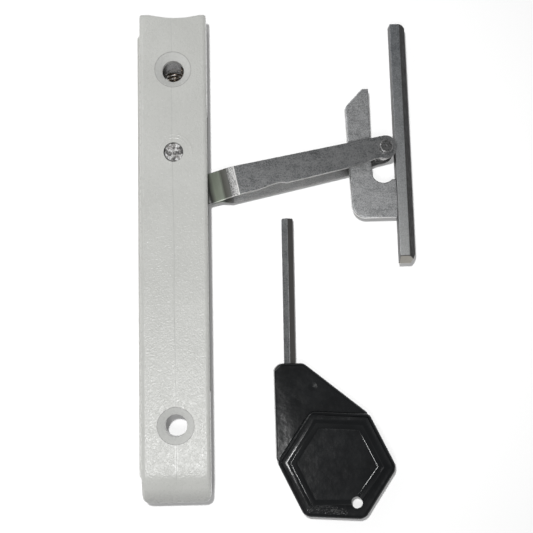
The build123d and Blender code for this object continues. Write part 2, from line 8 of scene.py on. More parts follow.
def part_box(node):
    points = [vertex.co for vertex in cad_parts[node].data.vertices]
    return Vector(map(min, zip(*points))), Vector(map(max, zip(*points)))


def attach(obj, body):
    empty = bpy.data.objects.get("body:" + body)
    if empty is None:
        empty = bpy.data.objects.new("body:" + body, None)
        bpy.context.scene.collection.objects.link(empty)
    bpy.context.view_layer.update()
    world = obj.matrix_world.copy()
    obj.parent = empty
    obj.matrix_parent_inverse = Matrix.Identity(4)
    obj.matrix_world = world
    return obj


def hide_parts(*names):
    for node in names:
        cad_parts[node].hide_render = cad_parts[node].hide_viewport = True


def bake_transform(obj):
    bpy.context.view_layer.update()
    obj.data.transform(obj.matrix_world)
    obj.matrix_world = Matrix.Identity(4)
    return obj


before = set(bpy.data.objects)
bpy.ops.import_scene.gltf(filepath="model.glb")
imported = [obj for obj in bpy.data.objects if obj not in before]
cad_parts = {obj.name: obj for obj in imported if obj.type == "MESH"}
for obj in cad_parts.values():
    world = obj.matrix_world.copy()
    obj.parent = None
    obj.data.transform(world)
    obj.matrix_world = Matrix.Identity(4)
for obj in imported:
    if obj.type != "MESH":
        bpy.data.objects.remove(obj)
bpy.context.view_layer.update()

mm = 0.001
white = (1, 1, 1, 1)
upwards = (0, 0, 1)
# most values of a noise lie between these two
noiseSpread = (0.3, 0.7)
print("frame loaded,", len(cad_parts), "nodes")


def grey(level, warm=0.0):
    # warm above 0 leans to red, below 0 to blue
    return (level * (1 + warm), level, level * (1 - warm), 1)


# Camera, in millimetres and degrees. The photo was taken nearly straight down on the part.
photoCamera = {
    "place": (13.57, -29.86, 262.0),
    "tilt": 5.5,
    "yaw": 2.3,
    "roll": -0.99,
    "lens": 65.65,
    "sensor": 36,
    "nearest": 5,
}


def makeCamera():
    s = photoCamera
    tilt, yaw, roll = radians(s["tilt"]), radians(s["yaw"]), radians(s["roll"])
    ahead = Vector((sin(yaw), sin(tilt), -cos(tilt) * cos(yaw))).normalized()
    side = ahead.cross(Vector((0, 1, 0))).normalized()
    up = side.cross(ahead)
    right = side * cos(roll) + up * sin(roll)
    top = up * cos(roll) - side * sin(roll)
    turn = Matrix((right, top, -ahead)).transposed()
    bpy.ops.object.camera_add(location=[v * mm for v in s["place"]], rotation=turn.to_euler())
    cam = bpy.context.object
    cam.name = "photoCamera"
    cam.data.lens = s["lens"]
    cam.data.sensor_width = s["sensor"]
    cam.data.clip_start = s["nearest"] * mm
    bpy.context.scene.camera = cam
    print("camera made")


# Shader nodes. Sizes of patterns are in millimetres.
# A noise is given as the width of one blot, its detail, its roughness and its stretch.
# A spread is given as the two values in and the two values out, which are 0 and 1 if left out.


def addNoise(tree, where, size, detail=4.0, roughness=0.5, stretch=None):
    if stretch:
        mapping = tree.nodes.new("ShaderNodeMapping")
        mapping.inputs["Scale"].default_value = stretch
        tree.links.new(where, mapping.inputs["Vector"])
        where = mapping.outputs["Vector"]
    noise = tree.nodes.new("ShaderNodeTexNoise")
    noise.inputs["Scale"].default_value = 1 / (size * mm)
    noise.inputs["Detail"].default_value = detail
    noise.inputs["Roughness"].default_value = roughness
    tree.links.new(where, noise.inputs["Vector"])
    return noise.outputs["Fac"]


def addRange(tree, value, low, high, toLow=0, toHigh=1):
    node = tree.nodes.new("ShaderNodeMapRange")
    node.inputs["From Min"].default_value = low
    node.inputs["From Max"].default_value = high
    node.inputs["To Min"].default_value = toLow
    node.inputs["To Max"].default_value = toHigh
    tree.links.new(value, node.inputs["Value"])
    return node.outputs["Result"]


def addMath(tree, operation, first, second=None):
    node = tree.nodes.new("ShaderNodeMath")
    node.operation = operation
    for socket, value in zip(node.inputs, (first, second)):
        if value is None:
            continue
        if isinstance(value, (int, float)):
            socket.default_value = value
        else:
            tree.links.new(value, socket)
    return node.outputs[0]


def times(tree, first, second):
    return addMath(tree, "MULTIPLY", first, second)


def plus(tree, first, second):
    return addMath(tree, "ADD", first, second)


def larger(tree, first, second):
    return addMath(tree, "MAXIMUM", first, second)


def absolute(tree, value):
    return addMath(tree, "ABSOLUTE", value)


def addColours(tree, value, stops):
    ramp = tree.nodes.new("ShaderNodeValToRGB")
    ramp.color_ramp.elements[0].position = stops[0][0]
    ramp.color_ramp.elements[0].color = stops[0][1]
    ramp.color_ramp.elements[1].position = stops[-1][0]
    ramp.color_ramp.elements[1].color = stops[-1][1]
    for place, colour in stops[1:-1]:
        ramp.color_ramp.elements.new(place).color = colour
    tree.links.new(value, ramp.inputs["Fac"])
    return ramp.outputs["Color"]


def addMix(tree, share, first, second):
    # first where share is 0, second where it is 1
    node = tree.nodes.new("ShaderNodeMix")
    node.data_type = "RGBA"
    sockets = [s for s in node.inputs if s.name in ("A", "B") and s.type == "RGBA"]
    tree.links.new(share, node.inputs[0])
    for socket, value in zip(sockets, (first, second)):
        if isinstance(value, tuple):
            socket.default_value = value
        else:
            tree.links.new(value, socket)
    return [s for s in node.outputs if s.type == "RGBA"][0]


def addBump(tree, height, depth, strength=1.0, under=None):
    # depth in millimetres
    bump = tree.nodes.new("ShaderNodeBump")
    bump.inputs["Strength"].default_value = strength
    bump.inputs["Distance"].default_value = depth * mm
    tree.links.new(height, bump.inputs["Height"])
    if under:
        tree.links.new(under, bump.inputs["Normal"])
    return bump.outputs["Normal"]


def along(tree, where, start, direction):
    # how far a point lies from start along a direction, in millimetres
    shift = tree.nodes.new("ShaderNodeVectorMath")
    shift.operation = "SUBTRACT"
    shift.inputs[1].default_value = [v * mm for v in start]
    tree.links.new(where, shift.inputs[0])
    dot = tree.nodes.new("ShaderNodeVectorMath")
    dot.operation = "DOT_PRODUCT"
    dot.inputs[1].default_value = direction
    tree.links.new(shift.outputs["Vector"], dot.inputs[0])
    return times(tree, dot.outputs["Value"], 1 / mm)


def awayFrom(tree, where, x, y):
    # distance from an upright axis, in millimetres
    dx = along(tree, where, (x, y, 0), (1, 0, 0))
    dy = along(tree, where, (x, y, 0), (0, 1, 0))
    return addMath(tree, "SQRT", plus(tree, times(tree, dx, dx), times(tree, dy, dy)))


def ridge(tree, value, middle, width):
    # 1 at the middle of a narrow line and 0 beside it
    return addRange(tree, absolute(tree, addMath(tree, "SUBTRACT", value, middle)), 0, width, 1, 0)


def facing(tree, direction, low, high):
    # 0 to 1 as the surface turns towards a direction
    coords = tree.nodes.new("ShaderNodeTexCoord")
    dot = tree.nodes.new("ShaderNodeVectorMath")
    dot.operation = "DOT_PRODUCT"
    dot.inputs[1].default_value = direction
    tree.links.new(coords.outputs["Normal"], dot.inputs[0])
    return addRange(tree, dot.outputs["Value"], low, high)


# Light and floor, sizes and places in millimetres, power in watts
studio = {
    "roomLight": 0.45,
    # the room that mirrors see, as height and tone
    "roomTones": [(0.1, white), (0.3, grey(0.55)), (0.6, grey(0.17)), (1, grey(0.17))],
    "lampAim": (20, 0, 0),
    # name, place, size and power
    "lamps": [
        ("flashLamp", (-16, -94, 330), 48, 0.42),
        ("fillLamp", (-190, 190, 330), 160, 0.33),
    ],
    # this one lights the floor alone, for the photo's narrow shadows right of and below each thing
    "floorLamp": ("floorLamp", (-10, 7, 330), 12, 3.2),
    "floorSize": 4000,
    "floorDrop": 0.02,
    "floorColour": grey(0.25),
    "floorRoughness": 0.9,
    "floorSheen": 0.1,
    "floorGlow": 0.17,
}


def makeLamp(name, place, size, power):
    bpy.ops.object.light_add(type="AREA", location=[v * mm for v in place])
    lamp = bpy.context.object
    lamp.name = name
    lamp.data.shape = "DISK"
    lamp.data.size = size * mm
    lamp.data.energy = power
    aim = Vector(studio["lampAim"]) * mm - lamp.location
    lamp.rotation_euler = aim.to_track_quat("-Z", "Y").to_euler()
    return lamp


def makeLamps():
    for values in studio["lamps"]:
        makeLamp(*values)
    print("lamps made:", len(studio["lamps"]))


def whereSeen(tree):
    # 1 for rays from the camera and for mirror or clear rays
    path = tree.nodes.new("ShaderNodeLightPath")
    first = larger(tree, path.outputs["Is Camera Ray"], path.outputs["Is Glossy Ray"])
    return larger(tree, first, path.outputs["Is Transmission Ray"])


def makeWorld():
    # seen directly or in a mirror the room is white at the horizon and grey at the ceiling
    s = studio
    world = bpy.data.worlds.new("paleRoom")
    bpy.context.scene.world = world
    world.use_nodes = True
    tree = world.node_tree
    tree.nodes.clear()
    coords = tree.nodes.new("ShaderNodeTexCoord")
    split = tree.nodes.new("ShaderNodeSeparateXYZ")
    tree.links.new(coords.outputs["Generated"], split.inputs["Vector"])
    seenRoom = addColours(tree, split.outputs["Z"], s["roomTones"])
    lit = tree.nodes.new("ShaderNodeBackground")
    lit.inputs["Color"].default_value = white
    lit.inputs["Strength"].default_value = s["roomLight"]
    seen = tree.nodes.new("ShaderNodeBackground")
    tree.links.new(seenRoom, seen.inputs["Color"])
    mix = tree.nodes.new("ShaderNodeMixShader")
    out = tree.nodes.new("ShaderNodeOutputWorld")
    tree.links.new(whereSeen(tree), mix.inputs[0])
    tree.links.new(lit.outputs[0], mix.inputs[1])
    tree.links.new(seen.outputs[0], mix.inputs[2])
    tree.links.new(mix.outputs[0], out.inputs["Surface"])
    print("room made")


def makeFloor():
    # plain and pale, with a lamp of its own
    s = studio
    size, height = s["floorSize"] * mm, -s["floorDrop"] * mm
    bpy.ops.mesh.primitive_plane_add(size=size, location=(0, 0, height))
    floor = bpy.context.object
    floor.name = "paleFloor"
    mat = bpy.data.materials.new("paleFloor")
    mat.use_nodes = True
    tree = mat.node_tree
    shader = tree.nodes["Principled BSDF"]
    shader.inputs["Base Color"].default_value = s["floorColour"]
    shader.inputs["Roughness"].default_value = s["floorRoughness"]
    shader.inputs["Specular IOR Level"].default_value = s["floorSheen"]
    shader.inputs["Emission Color"].default_value = white
    glow = times(tree, whereSeen(tree), s["floorGlow"])
    tree.links.new(glow, shader.inputs["Emission Strength"])
    floor.data.materials.append(mat)
    lamp = makeLamp(*s["floorLamp"])
    lit = bpy.data.collections.new("litFloor")
    lit.objects.link(floor)
    lamp.light_linking.receiver_collection = lit
    print("floor made")


# Materials. Each one has its own dictionary beside it.


def newMaterial(name):
    mat = bpy.data.materials.new(name)
    mat.use_nodes = True
    tree = mat.node_tree
    coords = tree.nodes.new("ShaderNodeTexCoord")
    return mat, tree, tree.nodes["Principled BSDF"], coords.outputs["Object"]


housingPaint = {
    "tones": [(0.35, (0.55, 0.555, 0.53, 1)), (0.65, (0.585, 0.59, 0.565, 1))],
    "cloud": (14, 3),
    # upward share of the normal where the flat front begins and where it is full
    "front": (0.93, 0.995),
    # leather grain: width of a cell, how its edges run and how much fine noise lies on it
    "grain": 0.43,
    "cellSmoothness": 0.7,
    "warpNoise": (0.8, 2),
    "warp": 0.2,
    "fineSize": 0.6,
    "fineDetail": 2,
    "fineShare": 0.6,
    "grainLevel": 0.6,
    "grainDepth": 0.062,
    "slopeGrain": 0.2,
    "wave": (1.6, 2),
    "waveDepth": 0.02,
    "waveStrength": 0.5,
    "roughness": (0.24, 0.34),
    "roughnessNoise": (1.1, 2),
    "seam": {
        "at": (-0.10, 0, 0), "way": (1, 0.005, 0), "wander": 0.12, "wanderNoise": (9, 2),
        "strip": (0.28, 0.5, 0.45, 1), "width": 0.12, "depth": 0.02, "strength": 0.6,
        "colour": (0.43, 0.435, 0.42, 1), "fadeNoise": (6, 2), "fade": (0.35, 0.6, 0.35, 0.95),
    },
    # radius of each arc and the side that it lies on, and how far to that side it fades in
    "witness": {
        "at": (0.1, 24.1), "arcs": [(3.85, (0.0, 1, 0)), (4.65, (0.62, 0.78, 0))],
        "open": (0.3, 0.6), "width": 0.28, "depth": 0.06,
    },
    # southward share of the normal where the painted shade on the lower end's slope begins and is
    # full
    "southShadeFrom": (0.45, 0.9),
    "southShadeShare": 0.8,
    "sinks": [(0, 46.0), (0, -46.0)],
    "sinkRadius": 4.7,
    # painted light: the paler tone inside the countersink cones
    "sinkPaintedLightTone": (0.635, 0.64, 0.62, 1),
    "rimLineWidth": 0.16,
    "rimLineShare": 0.8,
    # dark tone, used for the painted shade on the lower end and for the line around each
    # countersink's rim
    "darkTone": (0.30, 0.30, 0.29, 1),
}


def addGrain(tree, where):
    # the height of a leather grain whose cells run into each other
    s = housingPaint
    cells = tree.nodes.new("ShaderNodeTexVoronoi")
    cells.feature = "SMOOTH_F1"
    cells.inputs["Scale"].default_value = 1 / (s["grain"] * mm)
    cells.inputs["Smoothness"].default_value = s["cellSmoothness"]
    bent = addNoise(tree, where, *s["warpNoise"])
    warp = tree.nodes.new("ShaderNodeVectorMath")
    warp.operation = "ADD"
    push = tree.nodes.new("ShaderNodeCombineXYZ")
    shove = addRange(tree, bent, *noiseSpread, -s["warp"] * mm, s["warp"] * mm)
    tree.links.new(shove, push.inputs["X"])
    tree.links.new(shove, push.inputs["Y"])
    tree.links.new(where, warp.inputs[0])
    tree.links.new(push.outputs[0], warp.inputs[1])
    tree.links.new(warp.outputs["Vector"], cells.inputs["Vector"])
    fine = addNoise(tree, where, s["grain"] * s["fineSize"], s["fineDetail"])
    height = plus(tree, cells.outputs["Distance"], times(tree, fine, s["fineShare"]))
    return addMath(tree, "SUBTRACT", height, s["grainLevel"])


def makeHousingPaint():
    s = housingPaint
    mat, tree, shader, where = newMaterial("housingPaint")
    colour = addColours(tree, addNoise(tree, where, *s["cloud"]), s["tones"])
    # the grain is strong on the flat front and faint on slopes and in the countersinks
    front = facing(tree, upwards, *s["front"])
    height = addGrain(tree, where)
    # the mould's parting line runs down the front, with a slight lean and a strip without grain
    seam = s["seam"]
    wander = addRange(tree, addNoise(tree, where, *seam["wanderNoise"]), *noiseSpread,
                      -seam["wander"], seam["wander"])
    side = plus(tree, along(tree, where, seam["at"], seam["way"]), wander)
    strip = addRange(tree, absolute(tree, side), *seam["strip"])
    height = times(tree, height, addRange(tree, front, 0, 1, s["slopeGrain"], 1))
    normal = addBump(tree, times(tree, height, strip), s["grainDepth"])
    wave = addNoise(tree, where, *s["wave"])
    normal = addBump(tree, wave, s["waveDepth"], s["waveStrength"], normal)
    line = times(tree, ridge(tree, side, 0, seam["width"]), front)
    fade = addRange(tree, addNoise(tree, where, *seam["fadeNoise"]), *seam["fade"])
    colour = addMix(tree, times(tree, line, fade), colour, seam["colour"])
    normal = addBump(tree, times(tree, line, -1), seam["depth"], seam["strength"], normal)
    # the plunger's mould insert left two faint arcs above it
    mark = s["witness"]
    for radius, toward in mark["arcs"]:
        ring = ridge(tree, awayFrom(tree, where, *mark["at"]), radius, mark["width"])
        start, full = (radius * share for share in mark["open"])
        side = addRange(tree, along(tree, where, (*mark["at"], 0), toward), start, full)
        arc = times(tree, times(tree, ring, side), front)
        normal = addBump(tree, arc, mark["depth"], 1, normal)
    # painted shade: the lower end's south-facing slope is darkened
    low = facing(tree, (0, -1, 0), *s["southShadeFrom"])
    colour = addMix(tree, times(tree, low, s["southShadeShare"]), colour, s["darkTone"])
    # painted light: the countersink cones are made paler inside, and a dark line is painted around
    # each rim
    for x, y in s["sinks"]:
        away = awayFrom(tree, where, x, y)
        within = addMath(tree, "LESS_THAN", away, s["sinkRadius"])
        inside = larger(tree, addMath(tree, "SUBTRACT", within, front), 0)
        colour = addMix(tree, inside, colour, s["sinkPaintedLightTone"])
        rim = ridge(tree, away, s["sinkRadius"], s["rimLineWidth"])
        colour = addMix(tree, times(tree, rim, s["rimLineShare"]), colour, s["darkTone"])
    tree.links.new(colour, shader.inputs["Base Color"])
    rough = addRange(tree, addNoise(tree, where, *s["roughnessNoise"]), *noiseSpread, *s["roughness"])
    tree.links.new(rough, shader.inputs["Roughness"])
    tree.links.new(normal, shader.inputs["Normal"])
    return mat


zincFinish = {
    "speckle": (0.30, 2, 0.65),
    "speckleDepth": 0.016,
    "speckleShare": 0.50,
    "blot": (2.6, 3, 0.6),
    "blotShare": 0.28,
    "scratch": (3.2, 5, 0.75),
    "scratchDepth": 0.012,
    "scratchShare": 0.22,
    "toneSpread": (0.40, 0.61),
    "roughSpread": (0.4, 0.62),
    "cutEdge": (0.62, 0.61, 0.58, 1),
    "cutShare": 0.5,
    "cutFrom": (0.2, 0.6),
    "cutNoise": (0.7, 3, 0.6, (1, 1, 3)),
    "cutSpread": (0.4, 0.6, 0.3, 1),
}

steels = {
    # tones of the dark and the light specks, and the roughness of both
    "plateSteel": (grey(0.25), grey(1.0), (0.6, 0.45)),
    "brightSteel": (grey(0.55), grey(0.80), (0.34, 0.22)),
    "springSteel": (grey(0.30, 0.18), grey(0.62, 0.16), (0.36, 0.24)),
    "keeperSteel": (grey(0.30, -0.02), grey(0.84, -0.01), (0.50, 0.38)),
    "pinSteel": (grey(0.05), grey(0.36), (0.46, 0.30)),
    "trackSteel": (grey(0.35), grey(1.0), (0.45, 0.3)),
    "armSteel": (grey(0.13, -0.03), grey(0.43, -0.01), (0.52, 0.36)),
    "railSteel": (grey(0.22, -0.06), grey(0.54, -0.04), (0.48, 0.36)),
    "keySteel": (grey(0.20, -0.03), grey(0.44, -0.02), (0.44, 0.34)),
}
# metallic share of the dull plates inside the housing
dullSteels = {"plateSteel": 0.45, "trackSteel": 0.45}
# the scratches are finer across X, Y and Z by these: they run along X on plates, along Y on bars
plateStreaks = (1, 7, 1)
barStreaks = (9, 1, 9)


def makeZinc(name, streaks=plateStreaks, cut=zincFinish["cutShare"]):
    # plated steel: fine bright and dark specks, soft blots, scratches, and brighter cut edges
    s = zincFinish
    dark, light, roughness = steels[name]
    mat, tree, shader, where = newMaterial(name)
    speck = addNoise(tree, where, *s["speckle"])
    blot = addNoise(tree, where, *s["blot"])
    scratch = addNoise(tree, where, *s["scratch"], streaks)
    tone = plus(tree, times(tree, speck, s["speckleShare"]), times(tree, blot, s["blotShare"]))
    tone = plus(tree, tone, times(tree, scratch, s["scratchShare"]))
    darkest, brightest = s["toneSpread"]
    colour = addColours(tree, tone, [(darkest, dark), (brightest, light)])
    edge = times(
        tree, addRange(tree, facing(tree, upwards, *s["cutFrom"]), 0, 1, cut, 0),
        addRange(tree, addNoise(tree, where, *s["cutNoise"]), *s["cutSpread"]))
    colour = addMix(tree, edge, colour, s["cutEdge"])
    shader.inputs["Metallic"].default_value = dullSteels.get(name, 1)
    rough = addRange(tree, tone, *s["roughSpread"], *roughness)
    tree.links.new(rough, shader.inputs["Roughness"])
    normal = addBump(tree, speck, s["speckleDepth"])
    normal = addBump(tree, scratch, s["scratchDepth"], 1, normal)
    tree.links.new(normal, shader.inputs["Normal"])
    tree.links.new(colour, shader.inputs["Base Color"])
    return mat, tree, shader, where, colour


armPaintedLight = {
    # distances are from the pivot, along the arm
    "pivot": (4.6, 14.6),
    "turn": 12.2,
    # painted highlight: the bend's bright band, with speckled flecks and a bright line at its outer
    # end
    "bandFrom": 9.9,
    "bandTo": 12.1,
    "paintedHighlight": (0.98, 0.97, 0.95, 1),
    "bandShare": (0.10, 0.62),
    "bandSoft": (0.1, 0.15),
    "bandRim": 0.28,
    "rimWidth": 0.252,
    "flecks": (0.3, 2, 0.6),
    "fleckSpread": (0.38, 0.6),
    # painted reflection: tones along the slope near the housing, counted from the pivot
    "reflectionSoft": 0.3,
    "reflectionReach": (4, 10),
    "paintedReflectionTones": [
        (0.0, grey(0.70)), (0.08, grey(0.2)), (0.3, (0.72, 0.79, 0.67, 1)),
        (0.6, (0.62, 0.68, 0.58, 1)), (0.72, (0.24, 0.24, 0.22, 1)), (1, (0.38, 0.38, 0.36, 1)),
    ],
    # height where the upper plate begins, and the share of painted light that makes the lower one
    # brighter
    "upperFrom": (7.2, 7.6),
    "lowerLightShare": 0.16,
    # the lower plate is dark where the upper one hides it from the light
    "gapSide": (-0.1, 0.3, 0.95),
    "gapReach": 7.0,
    "gapSamples": 16,
    "gapOpen": (0.47, 0.60),
    "gapDark": 0.2,
    "northSide": (-0.21, 0.98, 0),
    "northFrom": (0.3, 0.7),
    "shade": grey(0.02),
}


def addGapShade(tree):
    # from gapDark in the gap to 1 in the open
    s = armPaintedLight
    gap = tree.nodes.new("ShaderNodeAmbientOcclusion")
    gap.samples = s["gapSamples"]
    gap.inputs["Distance"].default_value = s["gapReach"] * mm
    side = tree.nodes.new("ShaderNodeCombineXYZ")
    for socket, value in zip(side.inputs, s["gapSide"]):
        socket.default_value = value
    tree.links.new(side.outputs[0], gap.inputs["Normal"])
    return addRange(tree, gap.outputs["AO"], *s["gapOpen"], s["gapDark"], 1)


def makeArmSteel():
    # painted reflection along the slope near the housing, and a painted highlight with fine flecks on
    # the bend's bright band
    s = armPaintedLight
    mat, tree, shader, where, colour = makeZinc("armSteel")
    turn = radians(s["turn"])
    reach = along(tree, where, (*s["pivot"], 0), (cos(turn), sin(turn), 0))
    start, end = s["bandFrom"], s["bandTo"]
    softStart, softEnd = s["bandSoft"]
    # painted reflection: the slope near the housing takes these tones in place of the steel's own
    reflectionShare = addRange(tree, reach, start, start - s["reflectionSoft"])
    smooth = addColours(tree, addRange(tree, reach, *s["reflectionReach"]), s["paintedReflectionTones"])
    # painted highlight on the bend's band, speckled with flecks
    band = times(
        tree, addRange(tree, reach, end, end - softEnd),
        addRange(tree, reach, start - softStart, start))
    upper = addRange(tree, along(tree, where, (0, 0, 0), upwards), *s["upperFrom"])
    band = times(tree, band, upper)
    flecks = addRange(tree, addNoise(tree, where, *s["flecks"]), *s["fleckSpread"], *s["bandShare"])
    rim = ridge(tree, reach, end - s["bandRim"], s["rimWidth"])
    flecks = larger(tree, flecks, rim)
    colour = addMix(tree, times(tree, band, flecks), colour, s["paintedHighlight"])
    # painted light: the lower plate is made brighter than the upper one
    lower = addRange(tree, upper, 0, 1, s["lowerLightShare"], 0)
    colour = addMix(tree, lower, colour, s["paintedHighlight"])
    colour = addMix(tree, reflectionShare, colour, smooth)
    colour = addMix(tree, larger(tree, addGapShade(tree), upper), s["shade"], colour)
    # the plates' northern edges lie in the dark
    colour = addMix(tree, facing(tree, s["northSide"], *s["northFrom"]), colour, s["shade"])
    tree.links.new(colour, shader.inputs["Base Color"])
    return mat


railTones = {
    "lean": 1.0,
    # where along Y the brightening of the lower end starts and ends, and its share
    "lowSpread": (52, -2, 0, 0.42),
    "lowLight": (0.98, 0.98, 0.95, 1),
    "shadeNoise": (1.6, 4, 0.6, (4, 1, 4)),
    "shadeNoiseSpread": (0.35, 0.65, 0.92, 1),
    # painted shade: the normals where the bevel's and the left side's darkening begin, and their
    # tones
    "bevelFrom": (0.35, 0.6),
    "bevel": (0.018, 0.017, 0.017, 1),
    "sideFrom": (0.4, 0.7),
    "side": (0.05, 0.05, 0.052, 1),
    "topFrom": (0.5, 0.7),
    "footFrom": (0.4, 0.7),
    "foot": (0.33, 0.315, 0.285, 1),
    # place of the foot's dark line, counted southwards from the rail's lower end
    "footLineAt": -1.75,
    "footLineWidth": 0.22,
    "footLine": grey(0.02),
}


def makeRailSteel():
    # painted shade: the bar's bevel and left side are darkened by which way they face, so only the
    # top is bright
    s = railTones
    mat, tree, shader, where, colour = makeZinc("railSteel", barStreaks, 0)
    lean = radians(s["lean"])
    right = (cos(lean), sin(lean), 0)
    left = (-cos(lean), -sin(lean), 0)
    south = (sin(lean), -cos(lean), 0)
    # the foot end is brighter than the top
    low = addRange(tree, along(tree, where, (0, 0, 0), (0, 1, 0)), *s["lowSpread"])
    colour = addMix(tree, low, colour, s["lowLight"])
    shadeNoise = addRange(tree, addNoise(tree, where, *s["shadeNoise"]), *s["shadeNoiseSpread"])
    # painted shade on the bevel and on the left side, varied slightly by a noise
    bevel = times(tree, facing(tree, right, *s["bevelFrom"]), shadeNoise)
    colour = addMix(tree, bevel, colour, s["bevel"])
    side = times(tree, facing(tree, left, *s["sideFrom"]), shadeNoise)
    colour = addMix(tree, side, colour, s["side"])
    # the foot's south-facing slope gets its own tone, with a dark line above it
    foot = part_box("keeper_rail")[0]
    rise = along(tree, where, (foot[0] / mm, foot[1] / mm, 0), south)
    line = ridge(tree, rise, s["footLineAt"], s["footLineWidth"])
    top = times(tree, line, facing(tree, upwards, *s["topFrom"]))
    colour = addMix(tree, top, colour, s["footLine"])
    colour = addMix(tree, facing(tree, south, *s["footFrom"]), colour, s["foot"])
    tree.links.new(colour, shader.inputs["Base Color"])
    return mat


keyTones = {
    "awaySide": (1, 0, 0),
    "awayFrom": (0.2, 0.4),
    "away": grey(0.13, 0.04),
}


def makeKeySteel():
    # the bar's right half lies away from the light
    s = keyTones
    mat, tree, shader, where, colour = makeZinc("keySteel", barStreaks, 0)
    colour = addMix(tree, facing(tree, s["awaySide"], *s["awayFrom"]), colour, s["away"])
    tree.links.new(colour, shader.inputs["Base Color"])
    return mat


blackPlastic = {
    "tones": [(0.3, (0.005, 0.0056, 0.0062, 1)), (0.7, (0.010, 0.011, 0.012, 1))],
    "cloud": (8, 3),
    "roughness": (0.15, 0.21),
    "smudge": (2.4, 4, 0.6),
    "sheen": 0.36,
    "ripple": (3.2, 2),
    "rippleDepth": 0.06,
    "pits": (0.5, 3),
    "pitDepth": 0.007,
    # scuffed patch on the rim's lowest stretch, its half length and half width with soft ends
    "scuffAt": (38.5, -68.6),
    "scuffLean": 0.1,
    "scuffLength": (2.5, 5.5, 1, 0),
    "scuffWidth": (0.4, 1.1, 1, 0),
    "chips": (0.35, 3, 0.7),
    "chipSpread": (0.5, 0.6),
    "scuffShare": 0.5,
    "scuffTone": grey(0.12),
    "scuffDepth": 0.05,
    # sink mark on the web
    "sinkAt": (35.5, -37.0),
    "sinkFrom": (0.1, 1.2),
    "sinkDepth": 0.09,
}


def makeBlackPlastic():
    s = blackPlastic
    mat, tree, shader, where = newMaterial("blackPlastic")
    colour = addColours(tree, addNoise(tree, where, *s["cloud"]), s["tones"])
    rough = addRange(tree, addNoise(tree, where, *s["smudge"]), *noiseSpread, *s["roughness"])
    start, lean = (*s["scuffAt"], 0), s["scuffLean"]
    dx = along(tree, where, start, (1, -lean, 0))
    dy = along(tree, where, start, (lean, 1, 0))
    near = times(
        tree, addRange(tree, absolute(tree, dx), *s["scuffLength"]),
        addRange(tree, absolute(tree, dy), *s["scuffWidth"]))
    chips = addRange(tree, addNoise(tree, where, *s["chips"]), *s["chipSpread"])
    scuff = times(tree, near, chips)
    colour = addMix(tree, times(tree, scuff, s["scuffShare"]), colour, s["scuffTone"])
    tree.links.new(colour, shader.inputs["Base Color"])
    tree.links.new(rough, shader.inputs["Roughness"])
    normal = addBump(tree, addNoise(tree, where, *s["ripple"]), s["rippleDepth"])
    normal = addBump(tree, addNoise(tree, where, *s["pits"]), s["pitDepth"], 1, normal)
    normal = addBump(tree, scuff, s["scuffDepth"], 1, normal)
    sink = addRange(tree, awayFrom(tree, where, *s["sinkAt"]), *s["sinkFrom"])
    normal = addBump(tree, sink, s["sinkDepth"], 1, normal)
    tree.links.new(normal, shader.inputs["Normal"])
    shader.inputs["Specular IOR Level"].default_value = s["sheen"]
    return mat


acetal = {
    "tones": [(0.3, (0.74, 0.74, 0.70, 1)), (0.7, (0.82, 0.82, 0.79, 1))],
    "cloud": (3.3, 3),
    "roughness": (0.35, 0.45),
    "pits": (0.55, 3),
    "pitDepth": 0.01,
}


def makeAcetal():
    # the shoe's pale moulded plastic
    s = acetal
    mat, tree, shader, where = newMaterial("acetal")
    cloud = addNoise(tree, where, *s["cloud"])
    tree.links.new(addColours(tree, cloud, s["tones"]), shader.inputs["Base Color"])
    rough = addRange(tree, cloud, *noiseSpread, *s["roughness"])
    tree.links.new(rough, shader.inputs["Roughness"])
    normal = addBump(tree, addNoise(tree, where, *s["pits"]), s["pitDepth"])
    tree.links.new(normal, shader.inputs["Normal"])
    return mat


stakedFace = {
    "tones": [(0.40, grey(0.12)), (0.49, grey(0.42, 0.03)), (0.53, grey(0.62)), (0.60, grey(1.0))],
    "blot": (1.0, 4, 0.7),
    "blotDepth": 0.14,
    "metallic": 0.8,
    "roughness": (0.55, 0.3),
    "middle": (0.1, 24.1),
    "rim": (2.0, 2.4),
    "shadedSide": (-0.8, -0.6, 0),
    "shadedSpread": (0.3, 1.2, 0, 0.85),
    "shade": grey(0.03),
}


def makeStakedSteel():
    # the plunger's rough face, mottled bright and dark
    s = stakedFace
    mat, tree, shader, where = newMaterial("stakedSteel")
    blots = addNoise(tree, where, *s["blot"])
    colour = addColours(tree, blots, s["tones"])
    edge = addRange(tree, awayFrom(tree, where, *s["middle"]), *s["rim"])
    side = along(tree, where, (*s["middle"], 0), s["shadedSide"])
    shaded = addRange(tree, side, *s["shadedSpread"])
    colour = addMix(tree, times(tree, edge, shaded), colour, s["shade"])
    tree.links.new(colour, shader.inputs["Base Color"])
    shader.inputs["Metallic"].default_value = s["metallic"]
    rough = addRange(tree, blots, *noiseSpread, *s["roughness"])
    tree.links.new(rough, shader.inputs["Roughness"])
    tree.links.new(addBump(tree, blots, s["blotDepth"]), shader.inputs["Normal"])
    return mat


